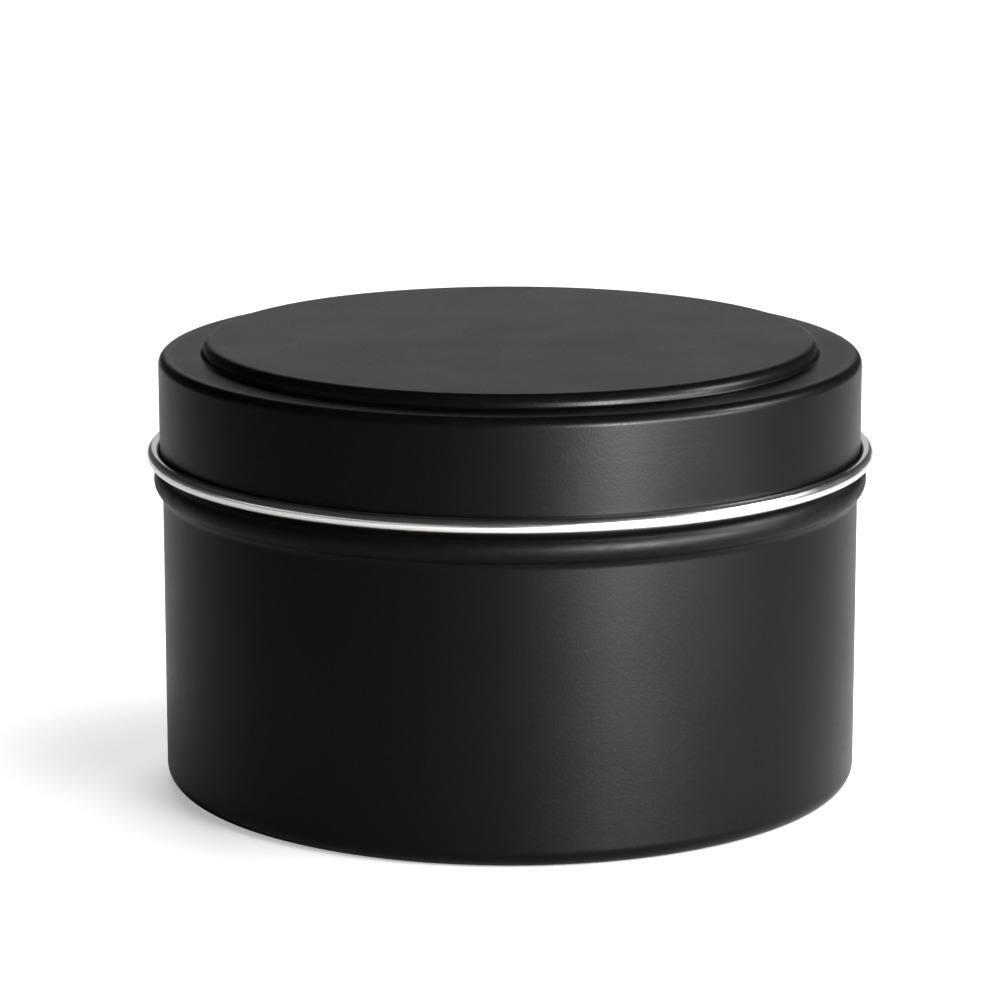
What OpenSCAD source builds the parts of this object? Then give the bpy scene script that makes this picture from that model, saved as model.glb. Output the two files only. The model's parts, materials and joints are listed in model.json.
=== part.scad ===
// Round slip-lid candle tin: a drawn sheet body with a stop bead and a rolled rim,
// and a drawn sheet lid with a raised panel and an outward curl.
// +Z is up and the origin is the centre of the circle on which the tin stands.

/* [Sheet] */
// Thickness of the tinplate sheet
sheet_t = 0.23; // [0.20:0.01:0.28]

/* [Tin body] */
// Outside diameter of the wall
body_d = 80; // [74:1:100]
// Height of the rolled rim above the surface that the tin stands on
body_h = 49.6; // [49:0.2:56]
// Outside radius between the wall and the base
base_corner_r = 2; // [1.4:0.1:3]

/* [Stop bead] */
// How far the bead stands out of the wall
bead_proud = 1; // [0.6:0.1:1.2]
// Height of the bead's crest
bead_z = 35.5; // [34:0.1:35.8]
// Outside radius of the crest
bead_crest_r = 1.8; // [1.2:0.1:2]
// Outside radius of the hollows above and below the crest
bead_foot_r = 1.2; // [0.8:0.1:1.4]

/* [Rolled rim] */
// Outside radius of the roll
rim_r = 0.8; // [0.6:0.05:1]
// How far round the sheet is rolled, in degrees
rim_turn = 290; // [240:5:300]

/* [Base] */
// How far the base panel is lifted above the stand ring
base_lift = 0.8; // [0.4:0.1:1.2]
// Width of the flat stand ring
stand_w = 1.2; // [0.8:0.1:3]
// Radius of the two bends between the ring and the panel, on their hollow side
base_bend_r = 0.8; // [0.5:0.1:1.2]

/* [Lid] */
// Depth of the lid, from its shoulder to the underside of its curl
lid_depth = 12.4; // [11.4:0.1:12.4]
// Diameter of the raised panel
panel_d = 70.6; // [40:0.2:70.8]
// Height of the raised panel above the shoulder
panel_rise = 1.5; // [1.2:0.1:2.4]
// Outside radius of the hollow at the panel's foot
panel_foot_r = 0.3; // [0.1:0.05:0.6]

/* [Lid curl] */
// Outside radius of the curl
curl_r = 0.85; // [0.6:0.05:0.95]
// How far round the sheet is curled, in degrees
curl_turn = 305; // [270:5:305]

/* [Fit] */
// Radial gap between the neck of the body and the skirt of the lid
neck_gap = 0.07; // [0.04:0.01:0.10]
// Gap between the rolled rim and the underside of the closed lid's shoulder
seat_gap = 0.07; // [0.04:0.01:0.10]

/* [Hidden] */

// Facets of a full turn, and the angle between points along a bend
turn_fn = 180;
bend_step = 5;

body_r = body_d / 2;

// Bead: its two hollows and its crest are arcs that meet at bead_a to the horizontal
bead_span = bead_crest_r + bead_foot_r;
bead_a = acos(1 - bead_proud / bead_span);
bead_reach = bead_span * sin(bead_a);

// Base: the two bends that lift the panel meet at base_a to the vertical
base_span = 2 * base_bend_r + sheet_t;
base_a = acos(1 - base_lift / base_span);
stand_r = body_r - base_corner_r - stand_w;
base_panel_r = stand_r - base_span * sin(base_a);

// Lid: its skirt runs outside the neck, and its corner is concentric with the rolled rim
skirt_r = body_r + neck_gap;
lid_r = skirt_r + sheet_t;
lid_corner_r = rim_r + neck_gap + sheet_t;
shoulder_z = body_h + seat_gap + sheet_t;
panel_r = panel_d / 2;
panel_edge_r = panel_rise - panel_foot_r;
panel_z = shoulder_z + panel_rise;
curl_z = shoulder_z - lid_depth + curl_r;

// A bend is [centre, radius of the sheet's outer face, first angle, last angle], as the
// half section of the sheet is followed from the axis outwards.

// Points along an arc about centre c
function arc(c, r, from, to) =
    let (steps = ceil(abs(to - from) / bend_step))
    [
        for (i = [0:steps])
            let (a = from + (to - from) * i / steps)
            c + r * [cos(a), sin(a)]
    ];

// One face of the sheet along its bends. inward is 0 for the outer face. For the inner face
// it is the sheet's thickness, negative where the outer face is on the left of the way.
function face(bends, inward) = [
    for (b = bends)
        each arc(b[0], b[1] - sign(b[3] - b[2]) * inward, b[2], b[3])
];

// The points without those that repeat the one before
function distinct(points) = [
    for (i = [0:len(points) - 1])
        if (i == 0 || norm(points[i] - points[max(i - 1, 0)]) > 0.001)
            points[i]
];

// The points in the opposite order
function backwards(points) = [for (i = [len(points) - 1:-1:0]) points[i]];

// A round drawn sheet, from height axis_z on the axis along its bends. side is 1 where the
// outer face is on the right of the way outwards, and -1 where it is on the left.
module drawn_sheet(axis_z, bends, side) {
    inner_axis = [0, axis_z + side * sheet_t];
    outer = distinct(face(bends, 0));
    inner = distinct(face(bends, side * sheet_t));
    rotate_extrude($fn = turn_fn)
        polygon(concat([[0, axis_z]], outer, backwards(inner), [inner_axis]));
}

// Drawn cup with its lifted base panel, stop bead and inward rolled rim, all one sheet
module tin_body() {
    foot_x = body_r + bead_foot_r;
    crest_x = body_r + bead_proud - bead_crest_r;
    panel_bend = [[base_panel_r, base_lift - base_bend_r], base_bend_r, 90, 90 - base_a];
    ring_c = [stand_r, sheet_t + base_bend_r];
    ring_bend = [ring_c, base_bend_r + sheet_t, 270 - base_a, 270];
    corner_c = [body_r - base_corner_r, base_corner_r];
    corner = [corner_c, base_corner_r, 270, 360];
    under_bead = [[foot_x, bead_z - bead_reach], bead_foot_r, 180, 180 - bead_a];
    crest = [[crest_x, bead_z], bead_crest_r, -bead_a, bead_a];
    over_bead = [[foot_x, bead_z + bead_reach], bead_foot_r, 180 + bead_a, 180];
    rim = [[body_r - rim_r, body_h - rim_r], rim_r, 0, rim_turn];
    bends = [panel_bend, ring_bend, corner, under_bead, crest, over_bead, rim];
    color("#26262a")
        drawn_sheet(base_lift, bends, 1);
}

// Drawn lid with its raised panel, skirt and outward curl, all one sheet
module lid() {
    edge_z = panel_z - panel_edge_r;
    corner_c = [lid_r - lid_corner_r, shoulder_z - lid_corner_r];
    panel_edge = [[panel_r - panel_edge_r, edge_z], panel_edge_r, 90, 0];
    panel_foot = [[panel_r + panel_foot_r, edge_z], panel_foot_r, 180, 270];
    corner = [corner_c, lid_corner_r, 90, 0];
    curl = [[skirt_r + curl_r, curl_z], curl_r - sheet_t, 180, 180 + curl_turn];
    color("#2c2c2f")
        drawn_sheet(panel_z, [panel_edge, panel_foot, corner, curl], -1);
}

tin_body();
lid();
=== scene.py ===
"""Round slip-lid candle tin, drawn from tinplate that is enamelled black on its outer face.

The tin body and the lid are each one round sheet. Its outer face, its bare inner face and its
cut edge are swept round the axis one after the other, and join into one closed shell."""

import json
import math

import bmesh
import bpy
from bpy.props import FloatProperty, FloatVectorProperty, PointerProperty
from bpy.types import Operator, Panel, PropertyGroup
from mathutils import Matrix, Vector

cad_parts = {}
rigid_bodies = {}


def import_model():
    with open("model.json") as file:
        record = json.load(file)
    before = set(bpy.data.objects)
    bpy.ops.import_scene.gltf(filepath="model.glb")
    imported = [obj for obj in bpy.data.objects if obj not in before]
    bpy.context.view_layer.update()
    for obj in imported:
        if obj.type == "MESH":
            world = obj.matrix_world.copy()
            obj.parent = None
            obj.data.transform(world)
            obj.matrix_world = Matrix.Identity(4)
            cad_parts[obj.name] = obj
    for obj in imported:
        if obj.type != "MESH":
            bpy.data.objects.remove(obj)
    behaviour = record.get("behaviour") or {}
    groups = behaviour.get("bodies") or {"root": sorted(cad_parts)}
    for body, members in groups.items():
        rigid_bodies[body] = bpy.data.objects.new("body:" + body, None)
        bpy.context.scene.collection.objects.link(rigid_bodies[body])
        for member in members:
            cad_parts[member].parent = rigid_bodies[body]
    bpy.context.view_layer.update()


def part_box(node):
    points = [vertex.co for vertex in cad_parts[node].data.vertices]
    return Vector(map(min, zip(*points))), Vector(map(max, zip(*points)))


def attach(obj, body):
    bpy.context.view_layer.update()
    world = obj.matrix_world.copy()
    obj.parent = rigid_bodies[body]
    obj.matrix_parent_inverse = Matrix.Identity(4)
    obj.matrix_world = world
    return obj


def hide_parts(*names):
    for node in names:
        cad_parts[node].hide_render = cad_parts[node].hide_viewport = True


bl_info = {
    "name": "Slip-Lid Candle Tin",
    "version": (1, 0, 0),
    "blender": (4, 5, 0),
    "location": "View3D > Sidebar > Candle Tin",
    "description": "Builds a drawn tinplate candle tin, its slip lid and a plain studio",
    "category": "Add Mesh",
}

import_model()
body_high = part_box("tin_body")[1]
lid_low, lid_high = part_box("lid")

# Material slots of every sheet: the enamelled outer face, the bare inner face, the cut edge
OUTER, INNER, CUT = range(3)

# Mesh density: angle between points along a bend, points round the axis and the like sectors
# that they are swept in, spacing along a straight run, and how far from a bend a loop holds
# the run straight
BEND_STEP = math.radians(5)
ROUND_STEPS = 256
SECTORS = 16
RUN_STEP = 0.006
HOLD = 0.00012
SAME_PLACE = 1e-6


class TinSizes(PropertyGroup):
    """Sizes of the tin body"""

    sheet: FloatProperty(
        name="Sheet", description="Thickness of the tinplate",
        default=0.00023, min=0.0001, precision=5, unit="LENGTH")
    bead_proud: FloatProperty(
        name="Bead Height", description="How far the stop bead stands out of the wall",
        default=0.001, precision=4, unit="LENGTH")
    bead_z: FloatProperty(
        name="Bead Level", description="Height of the bead's crest",
        default=0.0355, precision=4, unit="LENGTH")
    bead_crest: FloatProperty(
        name="Bead Crest", description="Outside radius of the bead's crest",
        default=0.0018, precision=4, unit="LENGTH")
    bead_foot: FloatProperty(
        name="Bead Foot", description="Outside radius of the hollows beside the crest",
        default=0.0012, precision=4, unit="LENGTH")
    rim: FloatProperty(
        name="Rim Roll", description="Outside radius of the rolled rim",
        default=0.0008, precision=4, unit="LENGTH")
    rim_turn: FloatProperty(
        name="Rim Turn", description="How far round the rim is rolled",
        default=math.radians(290), unit="ROTATION")
    corner: FloatProperty(
        name="Base Corner", description="Outside radius between the wall and the base",
        default=0.002, precision=4, unit="LENGTH")
    stand: FloatProperty(
        name="Stand Ring", description="Width of the flat ring that the tin stands on",
        default=0.0012, precision=4, unit="LENGTH")
    lift: FloatProperty(
        name="Base Lift", description="How far the base panel is lifted above the ring",
        default=0.0008, precision=4, unit="LENGTH")
    base_bend: FloatProperty(
        name="Base Bend", description="Radius of the base panel's bends on their hollow side",
        default=0.0008, precision=4, unit="LENGTH")


class LidSizes(PropertyGroup):
    """Sizes of the lid"""

    panel: FloatProperty(
        name="Panel", description="Outside radius of the raised panel",
        default=0.0353, precision=4, unit="LENGTH")
    rise: FloatProperty(
        name="Panel Rise", description="Height of the raised panel above the shoulder",
        default=0.0015, precision=4, unit="LENGTH")
    foot: FloatProperty(
        name="Panel Foot", description="Outside radius of the hollow at the panel's foot",
        default=0.0003, precision=4, unit="LENGTH")
    corner: FloatProperty(
        name="Lid Corner", description="Outside radius between the shoulder and the skirt",
        default=0.0011, precision=4, unit="LENGTH")
    curl: FloatProperty(
        name="Curl", description="Outside radius of the curl",
        default=0.00085, precision=5, unit="LENGTH")
    curl_turn: FloatProperty(
        name="Curl Turn", description="How far round the curl is rolled",
        default=math.radians(305), unit="ROTATION")


class TinFinish(PropertyGroup):
    """Colours and gloss of the enamel and the bare tinplate"""

    enamel: FloatVectorProperty(
        name="Enamel", description="Colour of the outer enamel", subtype="COLOR",
        size=3, min=0, max=1, default=(0.0005, 0.0005, 0.0005))
    enamel_rough: FloatProperty(
        name="Enamel Roughness", description="Roughness of the enamel between its marks",
        default=0.35, min=0, max=1, subtype="FACTOR")
    enamel_gloss: FloatProperty(
        name="Enamel Gloss", description="Specular level of the enamel",
        default=0.062, min=0, max=1, subtype="FACTOR")
    tinplate: FloatVectorProperty(
        name="Tinplate", description="Colour of the bare tinplate", subtype="COLOR",
        size=3, min=0, max=1, default=(0.76, 0.745, 0.72))
    tinplate_rough: FloatProperty(
        name="Tinplate Roughness", description="Roughness of the bare tinplate",
        default=0.2, min=0, max=1, subtype="FACTOR")


class StudioSetup(PropertyGroup):
    """Camera, lights and floor"""

    lens: FloatProperty(
        name="Lens", description="Focal length of the camera in millimetres",
        default=154.8, unit="CAMERA")
    pitch: FloatProperty(
        name="Pitch", description="How far the camera looks down",
        default=math.radians(12.505), unit="ROTATION")
    distance: FloatProperty(
        name="Distance", description="From the camera to the point that it looks at",
        default=0.4974, unit="LENGTH")
    aim: FloatProperty(
        name="Aim", description="Height of the point that the camera looks at",
        default=0.03218, precision=5, unit="LENGTH")
    key: FloatProperty(
        name="Key Light", description="Radiance of the softbox in front on the right",
        default=250, min=0)
    fill: FloatProperty(
        name="Fill Light", description="Radiance of the long softbox beside the key",
        default=64, min=0)
    side: FloatProperty(
        name="Side Light", description="Radiance of the softbox high on the right",
        default=60, min=0)
    strip: FloatProperty(
        name="Strip Light", description="Radiance of the long low strip on the left",
        default=1.1, min=0)
    back: FloatProperty(
        name="Back Light", description="Radiance of the softbox behind the tin",
        default=0.45, min=0)
    far_floor: FloatProperty(
        name="Far Floor Light", description="Radiance of the softbox over the floor behind",
        default=4.4, min=0)
    side_floor: FloatProperty(
        name="Side Floor Light", description="Radiance of the softbox over the floor beside",
        default=3.6, min=0)
    pool: FloatProperty(
        name="Pool Light", description="Radiance of the softbox low over the floor in front",
        default=15, min=0)
    band: FloatProperty(
        name="Room Band", description="Extra radiance of the room just above the floor",
        default=0.1, min=0)
    glow: FloatProperty(
        name="Floor Glow", description="Light that the white floor gives off by itself",
        default=0.4, min=0)
    room: FloatProperty(
        name="Room Light", description="Radiance of the room beyond the floor",
        default=0.03, min=0)


# ---- The round sheet -------------------------------------------------------------------


class Bend:
    """An arc of a sheet's outer face, followed from the axis outwards. Its angles are in
    radians and turn from +X to +Z."""

    def __init__(self, centre, radius, start, end):
        self.centre = Vector(centre)
        self.radius = radius
        self.start = start
        self.end = end

    def first_point(self):
        spoke = Vector((math.cos(self.start), 0, math.sin(self.start)))
        return self.centre + self.radius * spoke

    def on_inner_face(self, inward):
        """The same bend on the inner face, which lies inward to the left of the way."""
        turned = inward if self.end > self.start else -inward
        return Bend(self.centre, self.radius - turned, self.start, self.end)


def bend_at(x, z, radius, start, end):
    """A bend with its centre at x and z and its angles in degrees."""
    return Bend((x, 0, z), radius, math.radians(start), math.radians(end))


def run_to(shell, tip, goal):
    """Draws the line straight from tip to goal, with a point close to each end."""
    start = tip.co.copy()
    way = goal - start
    if way.length < SAME_PLACE:
        return tip
    spans = max(1, round(way.length / RUN_STEP))
    stops = [way.length * i / spans for i in range(1, spans + 1)]
    if way.length > 3 * HOLD:
        stops = [HOLD, *stops[:-1], way.length - HOLD, way.length]
    for stop in stops:
        tip = bmesh.ops.extrude_vert_indiv(shell, verts=[tip])["verts"][0]
        step = start + way * (stop / way.length) - tip.co
        bmesh.ops.translate(shell, verts=[tip], vec=step)
    return tip


def turn_through(shell, tip, bend):
    """Draws the line round a bend."""
    angle = bend.end - bend.start
    steps = math.ceil(abs(angle) / BEND_STEP)
    spun = bmesh.ops.spin(
        shell, geom=[tip], cent=bend.centre, axis=(0, -1, 0), angle=angle, steps=steps)
    return next(v for v in spun["geom_last"] if isinstance(v, bmesh.types.BMVert))


def sweep_face(shell, start, bends, slot, end=None):
    """Draws a line from start through the bends, and on to end if there is one, and sweeps
    one sector of a face of the sheet with it. Returns where the line stopped."""
    done = set(shell.verts)
    tip = shell.verts.new(start)
    for bend in bends:
        tip = run_to(shell, tip, bend.first_point())
        tip = turn_through(shell, tip, bend)
    if end is not None:
        tip = run_to(shell, tip, end)
    stopped = tip.co.copy()
    line = [v for v in shell.verts if v not in done]
    edges = {edge for v in line for edge in v.link_edges}
    bmesh.ops.spin(
        shell, geom=[*line, *edges], cent=(0, 0, 0), axis=(0, 0, 1),
        angle=math.tau / SECTORS, steps=ROUND_STEPS // SECTORS)
    for face in shell.faces:
        if not face.tag:
            face.tag = True
            face.smooth = True
            face.material_index = slot
    return stopped


def round_sheet(name, axis_z, bends, inward, materials):
    """A closed shell of sheet, from height axis_z on the axis along the bends of its outer
    face. The inner face lies inward above the outer one at the axis."""
    shell = bmesh.new()
    outer_end = sweep_face(shell, (0, 0, axis_z), bends, OUTER)
    inner = [bend.on_inner_face(inward) for bend in bends]
    inner_end = sweep_face(shell, (0, 0, axis_z + inward), inner, INNER)
    sweep_face(shell, outer_end, [], CUT, end=inner_end)
    sector = [*shell.verts, *shell.edges, *shell.faces]
    bmesh.ops.spin(
        shell, geom=sector, cent=(0, 0, 0), axis=(0, 0, 1),
        angle=math.tau * (SECTORS - 1) / SECTORS, steps=SECTORS - 1, use_duplicate=True)
    bmesh.ops.remove_doubles(shell, verts=shell.verts, dist=SAME_PLACE)
    bmesh.ops.recalc_face_normals(shell, faces=shell.faces)
    for edge in shell.edges:
        edge.smooth = len({face.material_index for face in edge.link_faces}) == 1
    closed = all(edge.is_manifold for edge in shell.edges)
    if not closed or shell.calc_volume(signed=True) <= 0:
        raise RuntimeError(f"{name} isn't a closed shell with its faces outwards")
    mesh = bpy.data.meshes.new(name)
    shell.to_mesh(mesh)
    shell.free()
    for material in materials:
        mesh.materials.append(material)
    piece = bpy.data.objects.new(name, mesh)
    bpy.context.scene.collection.objects.link(piece)
    return piece


# ---- Node helpers ----------------------------------------------------------------------


class Tree:
    """Adds nodes to a node tree. A value given to a socket is either a number, a colour or
    another node's output, which is linked."""

    def __init__(self, tree):
        self.nodes = tree.nodes
        self.links = tree.links

    def feed(self, socket, value):
        if isinstance(value, bpy.types.NodeSocket):
            self.links.new(value, socket)
        else:
            socket.default_value = value

    def add(self, kind, values=(), **settings):
        """A node with its settings, and its inputs by name or by number."""
        node = self.nodes.new(kind)
        for key, value in settings.items():
            setattr(node, key, value)
        for key, value in dict(values).items():
            self.feed(node.inputs[key], value)
        return node

    def math(self, operation, *values, clamp=False):
        node = self.add(
            "ShaderNodeMath", enumerate(values), operation=operation, use_clamp=clamp)
        return node.outputs[0]

    def vector(self, operation, *values):
        node = self.add("ShaderNodeVectorMath", enumerate(values), operation=operation)
        return node.outputs["Value" if operation == "LENGTH" else "Vector"]

    def scaled(self, vector, factor):
        node = self.add(
            "ShaderNodeVectorMath", {"Vector": vector, "Scale": factor}, operation="SCALE")
        return node.outputs["Vector"]

    def colour(self, share, low, high):
        """A colour between two."""
        node = self.add("ShaderNodeMix", {0: share, 6: low, 7: high}, data_type="RGBA")
        return node.outputs[2]

    def span(self, value, from_min, from_max, to_min, to_max, kind="LINEAR"):
        """A value carried from one range to another."""
        values = {"Value": value, "From Min": from_min, "From Max": from_max,
                  "To Min": to_min, "To Max": to_max}
        return self.add("ShaderNodeMapRange", values, interpolation_type=kind).outputs[0]

    def group(self, effect, **values):
        """One of the effect groups, with its inputs, whose names here have _ for a space."""
        node = self.add("ShaderNodeGroup", node_tree=effect)
        for key, value in values.items():
            self.feed(node.inputs[key.replace("_", " ")], value)
        return node.outputs[0]


def new_effect(name, output, **inputs):
    """A new effect group. Returns it, its tree, its inputs and its output socket."""
    effect = bpy.data.node_groups.new(name, "ShaderNodeTree")
    for key, value in inputs.items():
        label = key.replace("_", " ")
        socket = effect.interface.new_socket(
            name=label, in_out="INPUT", socket_type="NodeSocketFloat")
        socket.default_value = value
    effect.interface.new_socket(name=output, in_out="OUTPUT", socket_type="NodeSocketFloat")
    tree = Tree(effect)
    given = tree.add("NodeGroupInput").outputs
    result = tree.add("NodeGroupOutput").inputs[0]
    return effect, tree, given, result


# ---- Effects ---------------------------------------------------------------------------


def draw_lines():
    """Fine lines that drawing and rolling leave round a sheet."""
    effect, tree, given, result = new_effect("Draw Lines", "Mask", Pitch=0.00018, Arcs=3.0)
    place = tree.add("ShaderNodeTexCoord").outputs["Object"]
    flat = tree.vector("MULTIPLY", place, (1, 1, 0))
    height = tree.vector("MULTIPLY", place, (0, 0, 1))
    per_metre = tree.math("DIVIDE", 1.0, given["Pitch"])
    around = tree.scaled(tree.vector("NORMALIZE", flat), given["Arcs"])
    spot = tree.vector("ADD", around, tree.scaled(height, per_metre))
    out = tree.math("MULTIPLY", tree.vector("LENGTH", flat), per_metre)
    noise = tree.add(
        "ShaderNodeTexNoise", {"Vector": spot, "W": out, "Scale": 1.0, "Detail": 3.0},
        noise_dimensions="4D")
    tree.feed(result, tree.span(noise.outputs[0], 0.3, 0.7, 0.0, 1.0))
    return effect


def grain():
    """Even grain: orange peel or torn metal at a fine size, cloudy gloss at a coarse one."""
    effect, tree, given, result = new_effect("Grain", "Height", Size=0.0003, Fineness=2.0)
    place = tree.add("ShaderNodeTexCoord").outputs["Object"]
    spot = tree.scaled(place, tree.math("DIVIDE", 1.0, given["Size"]))
    noise = tree.add(
        "ShaderNodeTexNoise", {"Vector": spot, "Scale": 1.0, "Detail": given["Fineness"]})
    tree.feed(result, tree.span(noise.outputs[0], 0.25, 0.75, 0.0, 1.0))
    return effect


def ring_wear():
    """A band along one ring of the sheet, broken up as handling leaves it."""
    effect, tree, given, result = new_effect(
        "Ring Wear", "Mask", Radius=0.04, Height=0.05, Reach=0.001)
    place = tree.add("ShaderNodeTexCoord").outputs["Object"]
    out = tree.vector("LENGTH", tree.vector("MULTIPLY", place, (1, 1, 0)))
    up = tree.add("ShaderNodeSeparateXYZ", {0: place}).outputs["Z"]
    off = tree.add("ShaderNodeCombineXYZ", {
        "X": tree.math("SUBTRACT", out, given["Radius"]),
        "Y": tree.math("SUBTRACT", up, given["Height"])}).outputs[0]
    band = tree.span(
        tree.vector("LENGTH", off), 0.0, given["Reach"], 1.0, 0.0, kind="SMOOTHSTEP")
    noise = tree.add("ShaderNodeTexNoise", {"Vector": place, "Scale": 600.0, "Detail": 3.0})
    broken = tree.span(noise.outputs[0], 0.35, 0.65, 0.35, 1.0)
    tree.feed(result, tree.math("MULTIPLY", band, broken))
    return effect


def dust():
    """Sparse specks that have settled on the surface."""
    effect, tree, given, result = new_effect("Dust", "Mask", Spacing=0.004, Share=0.3)
    place = tree.add("ShaderNodeTexCoord").outputs["Object"]
    spot = tree.scaled(place, tree.math("DIVIDE", 1.0, given["Spacing"]))
    cells = tree.add("ShaderNodeTexVoronoi", {"Vector": spot, "Scale": 1.0})
    pick = tree.add("ShaderNodeSeparateColor", {0: cells.outputs["Color"]}).outputs[0]
    chosen = tree.math("LESS_THAN", pick, given["Share"])
    speck = tree.span(cells.outputs["Distance"], 0.015, 0.03, 1.0, 0.0)
    tree.feed(result, tree.math("MULTIPLY", chosen, speck))
    return effect


class Effects:
    """The effect groups, each built once and shared by the materials."""

    def __init__(self):
        self.lines = draw_lines()
        self.grain = grain()
        self.wear = ring_wear()
        self.dust = dust()


# ---- Materials -------------------------------------------------------------------------

# Depth of each finish's relief, in metres
ENAMEL_RELIEF = 0.0000042
TINPLATE_RELIEF = 0.0000025
TORN_RELIEF = 0.000006

# Pale dust on the enamel, and how much lighter the enamel is where it is rubbed
LINT = (0.006, 0.006, 0.0055, 1)
RUBBED = 3
# How dark the darkest rolled tinplate is beside the brightest
DULL = 0.86

# The crown of a rounded corner stands in from both sides by this share of its radius
CROWN = 0.3


def new_material(name, **constants):
    """A material with a Principled shader. Returns it, its tree and the shader."""
    material = bpy.data.materials.new(name)
    material.use_nodes = True
    tree = Tree(material.node_tree)
    shader = tree.nodes["Principled BSDF"]
    for key, value in constants.items():
        shader.inputs[key.replace("_", " ")].default_value = value
    return material, tree, shader.inputs


def bump(tree, height, depth):
    """A normal from a height of 0 to 1 that stands for depth in metres."""
    values = {"Height": height, "Distance": depth, "Strength": 1.0}
    return tree.add("ShaderNodeBump", values).outputs[0]


def varied(tree, rough, mask, low, high):
    """A roughness changed by low where a mask is 0 and by high where it is 1."""
    return tree.math("ADD", rough, tree.span(mask, 0.0, 1.0, low, high))


def satin_enamel(effects, finish, rings, bead):
    """Satin enamel with a fine orange peel, thinner and smoother along the sheet's bends and
    scuffed matt along the bead, where the lid's curl passes."""
    material, tree, shader = new_material(
        "satin_enamel", Specular_IOR_Level=finish.enamel_gloss)
    peel = tree.group(effects.grain, Size=0.00028, Fineness=2.0)
    cloud = tree.group(effects.grain, Size=0.009, Fineness=3.0)
    lines = tree.group(effects.lines, Pitch=0.0005, Arcs=1.5)
    specks = tree.group(effects.dust, Spacing=0.004, Share=0.25)
    worn = 0.0
    for radius, height in rings:
        band = tree.group(effects.wear, Radius=radius, Height=height, Reach=0.0009)
        worn = tree.math("MAXIMUM", worn, band)
    scuff = tree.group(effects.wear, Radius=bead[0], Height=bead[1], Reach=0.0022)
    enamel = (*finish.enamel, 1)
    rubbed = (*(RUBBED * share for share in finish.enamel), 1)
    tone = tree.colour(tree.math("MULTIPLY", worn, 0.6), enamel, rubbed)
    tree.feed(shader["Base Color"], tree.colour(specks, tone, LINT))
    rough = tree.span(peel, 0.0, 1.0, finish.enamel_rough - 0.03, finish.enamel_rough + 0.03)
    rough = varied(tree, rough, cloud, -0.02, 0.02)
    rough = varied(tree, rough, worn, 0.0, -0.06)
    rough = varied(tree, rough, scuff, 0.0, 0.14)
    tree.feed(shader["Roughness"], rough)
    relief = tree.math("ADD", peel, tree.math("MULTIPLY", lines, 0.3))
    tree.feed(shader["Normal"], bump(tree, relief, ENAMEL_RELIEF))
    return material


def rolled_tinplate(effects, finish):
    """Bright rolled tinplate with fine lines round it."""
    material, tree, shader = new_material("rolled_tinplate", Metallic=1.0)
    fine = tree.group(effects.lines, Pitch=0.00012, Arcs=4.0)
    broad = tree.group(effects.lines, Pitch=0.0007, Arcs=1.2)
    cloud = tree.group(effects.grain, Size=0.006, Fineness=3.0)
    shade = tree.math("MULTIPLY_ADD", fine, 0.6, tree.math("MULTIPLY", cloud, 0.4))
    dull = (*(DULL * share for share in finish.tinplate), 1)
    tree.feed(shader["Base Color"], tree.colour(shade, dull, (*finish.tinplate, 1)))
    rough = tree.span(fine, 0.0, 1.0, finish.tinplate_rough - 0.04, finish.tinplate_rough + 0.04)
    rough = varied(tree, rough, cloud, -0.03, 0.03)
    tree.feed(shader["Roughness"], rough)
    relief = tree.math("ADD", fine, tree.math("MULTIPLY", broad, 0.5))
    tree.feed(shader["Normal"], bump(tree, relief, TINPLATE_RELIEF))
    return material


def sheared_steel(effects):
    """Dull grey steel of the sheet's cut edge."""
    material, tree, shader = new_material("sheared_steel", Metallic=1.0)
    torn = tree.group(effects.grain, Size=0.00008, Fineness=3.0)
    dark, light = (0.3, 0.29, 0.28, 1), (0.5, 0.49, 0.47, 1)
    tree.feed(shader["Base Color"], tree.colour(torn, dark, light))
    tree.feed(shader["Roughness"], tree.span(torn, 0.0, 1.0, 0.38, 0.55))
    tree.feed(shader["Normal"], bump(tree, torn, TORN_RELIEF))
    return material


def pale_floor(glow):
    """Matt white sweep that is seen from above and not from below. Its glow lifts it to white
    and isn't mirrored by the tin."""
    material, tree, shader = new_material(
        "pale_floor", Roughness=0.8, Specular_IOR_Level=0.1)
    place = tree.add("ShaderNodeTexCoord").outputs["Object"]
    noise = tree.add("ShaderNodeTexNoise", {"Vector": place, "Scale": 4.0})
    white = tree.colour(noise.outputs[0], (0.88, 0.88, 0.88, 1), (0.9, 0.9, 0.9, 1))
    tree.feed(shader["Base Color"], white)
    seen = tree.add("ShaderNodeLightPath").outputs["Is Camera Ray"]
    tree.feed(shader["Emission Color"], (1, 1, 1, 1))
    tree.feed(shader["Emission Strength"], tree.math("MULTIPLY", seen, glow))
    seen_through = tree.add("ShaderNodeBsdfTransparent").outputs[0]
    below = tree.add("ShaderNodeNewGeometry").outputs["Backfacing"]
    surface = tree.nodes["Principled BSDF"].outputs[0]
    sides = tree.add("ShaderNodeMixShader", {0: below, 1: surface, 2: seen_through})
    tree.feed(tree.nodes["Material Output"].inputs["Surface"], sides.outputs[0])
    return material


def sheet_materials(scene):
    """The three materials of a sheet, made once, in the order of its slots."""
    names = ("satin_enamel", "rolled_tinplate", "sheared_steel")
    if names[0] not in bpy.data.materials:
        tin, lid = scene.candle_tin, scene.candle_lid
        wall = body_high.x - tin.bead_proud
        rings = [
            (wall - CROWN * tin.corner, CROWN * tin.corner),
            (wall - tin.rim, body_high.z),
            (wall, lid_high.z - lid.rise),
            (lid.panel - CROWN * lid.rise, lid_high.z - CROWN * lid.rise),
        ]
        effects = Effects()
        satin_enamel(effects, scene.candle_finish, rings, (body_high.x, tin.bead_z))
        rolled_tinplate(effects, scene.candle_finish)
        sheared_steel(effects)
    return [bpy.data.materials[name] for name in names]


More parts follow.
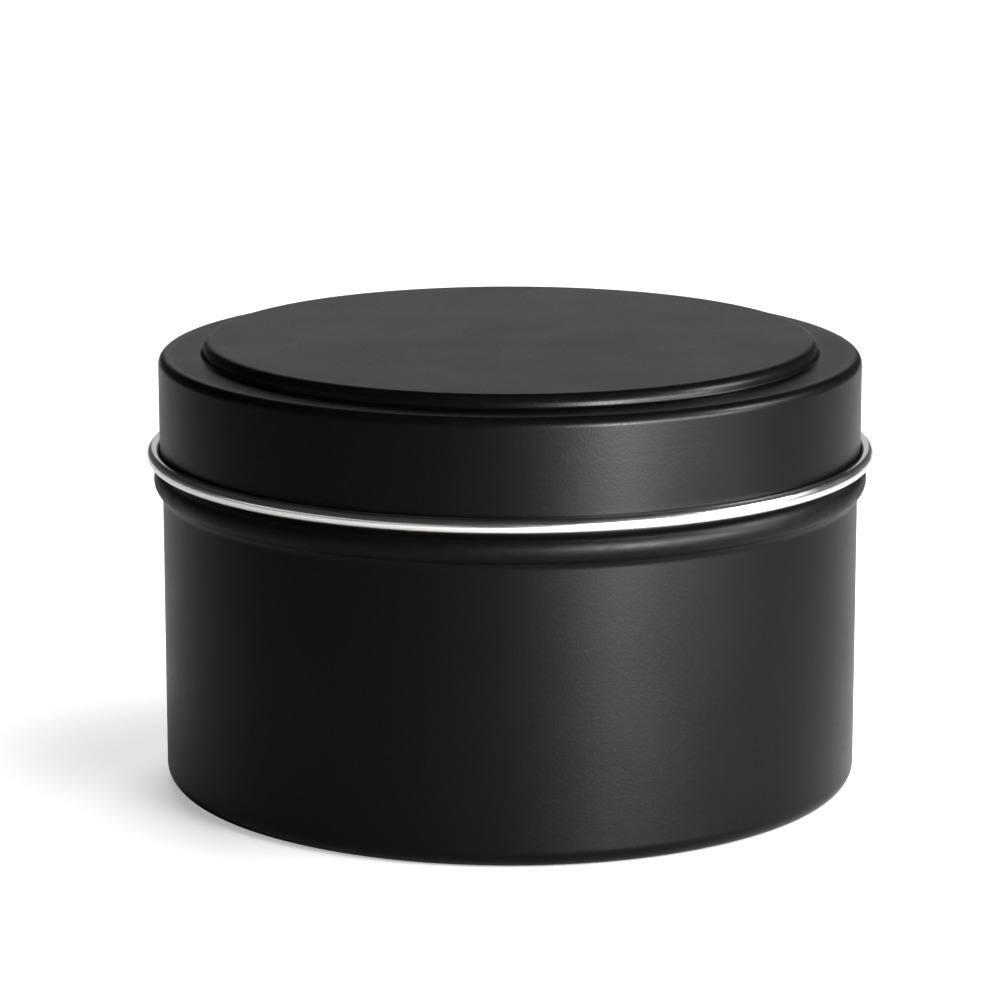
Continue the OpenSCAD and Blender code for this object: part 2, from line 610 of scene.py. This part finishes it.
# ---- Pieces ----------------------------------------------------------------------------


class CANDLETIN_OT_body(Operator):
    """Build the tin body: lifted base, wall, stop bead and rim rolled inwards"""

    bl_idname = "candletin.body"
    bl_label = "Tin Body"

    def execute(self, context):
        size = context.scene.candle_tin
        wall = body_high.x - size.bead_proud
        span = size.bead_crest + size.bead_foot
        slope = math.degrees(math.acos(1 - size.bead_proud / span))
        reach = span * math.sin(math.radians(slope))
        foot_x = wall + size.bead_foot
        base_span = 2 * size.base_bend + size.sheet
        lean = math.degrees(math.acos(1 - size.lift / base_span))
        ring_x = wall - size.corner - size.stand
        panel_x = ring_x - base_span * math.sin(math.radians(lean))
        ring_z = size.sheet + size.base_bend
        turned = math.degrees(size.rim_turn)
        bends = [
            bend_at(panel_x, size.lift - size.base_bend, size.base_bend, 90, 90 - lean),
            bend_at(ring_x, ring_z, ring_z, 270 - lean, 270),
            bend_at(wall - size.corner, size.corner, size.corner, 270, 360),
            bend_at(foot_x, size.bead_z - reach, size.bead_foot, 180, 180 - slope),
            bend_at(body_high.x - size.bead_crest, size.bead_z, size.bead_crest, -slope, slope),
            bend_at(foot_x, size.bead_z + reach, size.bead_foot, 180 + slope, 180),
            bend_at(wall - size.rim, body_high.z - size.rim, size.rim, 0, turned),
        ]
        piece = round_sheet(
            "tin_body_shell", size.lift, bends, size.sheet, sheet_materials(context.scene))
        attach(piece, "tin")
        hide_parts("tin_body")
        return {"FINISHED"}


class CANDLETIN_OT_lid(Operator):
    """Build the lid: raised panel, shoulder, skirt and curl rolled outwards"""

    bl_idname = "candletin.lid"
    bl_label = "Slip Lid"

    def execute(self, context):
        size = context.scene.candle_lid
        sheet = context.scene.candle_tin.sheet
        shoulder_z = lid_high.z - size.rise
        skirt_inside = lid_high.x - 2 * size.curl
        skirt = skirt_inside + sheet
        edge = size.rise - size.foot
        edge_z = lid_high.z - edge
        curled = 180 + math.degrees(size.curl_turn)
        curl_x = skirt_inside + size.curl
        curl_z = lid_low.z + size.curl
        bends = [
            bend_at(size.panel - edge, edge_z, edge, 90, 0),
            bend_at(size.panel + size.foot, edge_z, size.foot, 180, 270),
            bend_at(skirt - size.corner, shoulder_z - size.corner, size.corner, 90, 0),
            bend_at(curl_x, curl_z, size.curl - sheet, 180, curled),
        ]
        piece = round_sheet(
            "lid_shell", lid_high.z, bends, -sheet, sheet_materials(context.scene))
        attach(piece, "lid")
        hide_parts("lid")
        return {"FINISHED"}


# ---- Studio ----------------------------------------------------------------------------

FLOOR_RADIUS = 3.0
FLOOR_SIDES = 96
SENSOR_WIDTH = 36
# The tin's axis stands a little right of the middle of the camera's view
SIDE_SHIFT = -0.0101

# The points that lights are turned to: low on the wall, and where the tin stands
WALL = Vector((0, 0, 0.02))
STAND = Vector((0, 0, 0))
# From the wall to the softboxes round the front and sides
REACH = 0.75
# Power of an area light for each square metre and unit of radiance
POWER = 4


def from_tin(azimuth, elevation, distance):
    """A place seen from the tin. Azimuth 0 is towards the camera and 90 is towards +X."""
    side, up = math.radians(azimuth), math.radians(elevation)
    level = math.cos(up)
    return distance * Vector((level * math.sin(side), -level * math.cos(side), math.sin(up)))


def soft_light(name, place, aim, width, height, radiance, lit):
    """A rectangular softbox turned towards aim. It lights only what is in a collection."""
    data = bpy.data.lights.new(name, "AREA")
    data.shape = "RECTANGLE"
    data.size = width
    data.size_y = height
    data.energy = POWER * radiance * width * height
    light = bpy.data.objects.new(name, data)
    light.location = place
    light.rotation_euler = (aim - place).to_track_quat("-Z", "Y").to_euler()
    light.visible_camera = False
    light.light_linking.receiver_collection = lit
    bpy.context.scene.collection.objects.link(light)


def light_group(name, members):
    """A collection that lights can be kept to."""
    group = bpy.data.collections.new(name)
    for member in members:
        group.objects.link(member)
    return group


def studio_room(setup):
    """A dim room with a soft lighter band just above the floor's far edge."""
    world = bpy.data.worlds.new("room")
    world.use_nodes = True
    tree = Tree(world.node_tree)
    way = tree.add("ShaderNodeTexCoord").outputs["Generated"]
    rise = tree.add("ShaderNodeSeparateXYZ", {0: way}).outputs["Z"]
    above = tree.span(rise, 0.03, 0.1, 0.0, setup.band, kind="SMOOTHSTEP")
    below = tree.span(rise, 0.14, 0.28, 1.0, 0.0, kind="SMOOTHSTEP")
    light = tree.math("MULTIPLY_ADD", above, below, setup.room)
    room = tree.nodes["Background"].inputs
    tree.feed(room["Color"], (1, 1, 1, 1))
    tree.feed(room["Strength"], light)
    return world


def add_floor(glow):
    """A round pale floor that reaches past the camera's view."""
    disc = bmesh.new()
    bmesh.ops.create_circle(
        disc, cap_ends=True, cap_tris=True, segments=FLOOR_SIDES, radius=FLOOR_RADIUS)
    mesh = bpy.data.meshes.new("floor")
    disc.to_mesh(mesh)
    disc.free()
    mesh.materials.append(pale_floor(glow))
    floor = bpy.data.objects.new("floor", mesh)
    bpy.context.scene.collection.objects.link(floor)
    return floor


def add_camera(setup):
    """The camera, level across and looking down by its pitch."""
    data = bpy.data.cameras.new("camera")
    data.lens = setup.lens
    data.sensor_width = SENSOR_WIDTH
    data.shift_x = SIDE_SHIFT
    data.clip_start = 0.01
    data.clip_end = 2 * FLOOR_RADIUS
    camera = bpy.data.objects.new("camera", data)
    way = from_tin(0, math.degrees(setup.pitch), setup.distance)
    camera.location = Vector((0, 0, setup.aim)) + way
    camera.rotation_euler = (math.pi / 2 - setup.pitch, 0, 0)
    bpy.context.scene.collection.objects.link(camera)
    bpy.context.scene.camera = camera


def light_tin(setup, tin):
    """The softboxes that light the tin only, each by its azimuth, elevation and distance."""
    soft_light("key_light", WALL + from_tin(34, 5.3, REACH), WALL,
               width=0.18, height=0.16, radiance=setup.key, lit=tin)
    soft_light("fill_light", WALL + from_tin(61, 8, REACH), WALL,
               width=0.45, height=0.16, radiance=setup.fill, lit=tin)
    soft_light("side_light", WALL + from_tin(86, 30, REACH), WALL,
               width=0.2, height=0.2, radiance=setup.side, lit=tin)
    soft_light("back_light", WALL + from_tin(180, 16, 0.9), WALL,
               width=0.5, height=0.44, radiance=setup.back, lit=tin)
    soft_light("strip_light", WALL + from_tin(-56, 9, REACH), WALL,
               width=1.3, height=0.08, radiance=setup.strip, lit=tin)


def light_floor(setup, floor):
    """The softboxes that light the floor only. The pool hangs low over it, in front."""
    soft_light("far_floor_light", from_tin(180, 30, 1.2), STAND,
               width=0.8, height=0.8, radiance=setup.far_floor, lit=floor)
    soft_light("side_floor_light", from_tin(94, 58, 0.5), STAND,
               width=0.4, height=0.4, radiance=setup.side_floor, lit=floor)
    pool = from_tin(33, 0, 0.2)
    soft_light("pool_light", pool + Vector((0, 0, 0.1)), pool,
               width=0.12, height=0.12, radiance=setup.pool, lit=floor)


class CANDLETIN_OT_studio(Operator):
    """Build the floor, the soft lights, the room and the camera"""

    bl_idname = "candletin.studio"
    bl_label = "Studio"

    def execute(self, context):
        setup = context.scene.candle_studio
        floor = light_group("lit_floor", [add_floor(setup.glow)])
        shells = [o for o in context.scene.objects if o.name.endswith("_shell")]
        light_tin(setup, light_group("lit_tin", shells))
        light_floor(setup, floor)
        context.scene.world = studio_room(setup)
        context.scene.view_settings.view_transform = "Standard"
        add_camera(setup)
        return {"FINISHED"}


# ---- Add-on ----------------------------------------------------------------------------


class CANDLETIN_PT_build(Panel):
    """Lists the builders of the tin's pieces and its studio"""

    bl_idname = "CANDLETIN_PT_build"
    bl_label = "Candle Tin"
    bl_space_type = "VIEW_3D"
    bl_region_type = "UI"
    bl_category = "Candle Tin"

    def draw(self, context):
        for builder in BUILDERS:
            self.layout.operator(builder.bl_idname)


SETTINGS = {
    "candle_tin": TinSizes,
    "candle_lid": LidSizes,
    "candle_finish": TinFinish,
    "candle_studio": StudioSetup,
}
BUILDERS = (CANDLETIN_OT_body, CANDLETIN_OT_lid, CANDLETIN_OT_studio)


def register():
    for kind in (*SETTINGS.values(), *BUILDERS, CANDLETIN_PT_build):
        bpy.utils.register_class(kind)
    for name, kind in SETTINGS.items():
        setattr(bpy.types.Scene, name, PointerProperty(type=kind))


def unregister():
    for name in SETTINGS:
        delattr(bpy.types.Scene, name)
    for kind in (CANDLETIN_PT_build, *reversed(BUILDERS), *SETTINGS.values()):
        bpy.utils.unregister_class(kind)


def main():
    register()
    bpy.ops.candletin.body()
    bpy.ops.candletin.lid()
    bpy.ops.candletin.studio()


if __name__ == "__main__":
    main()
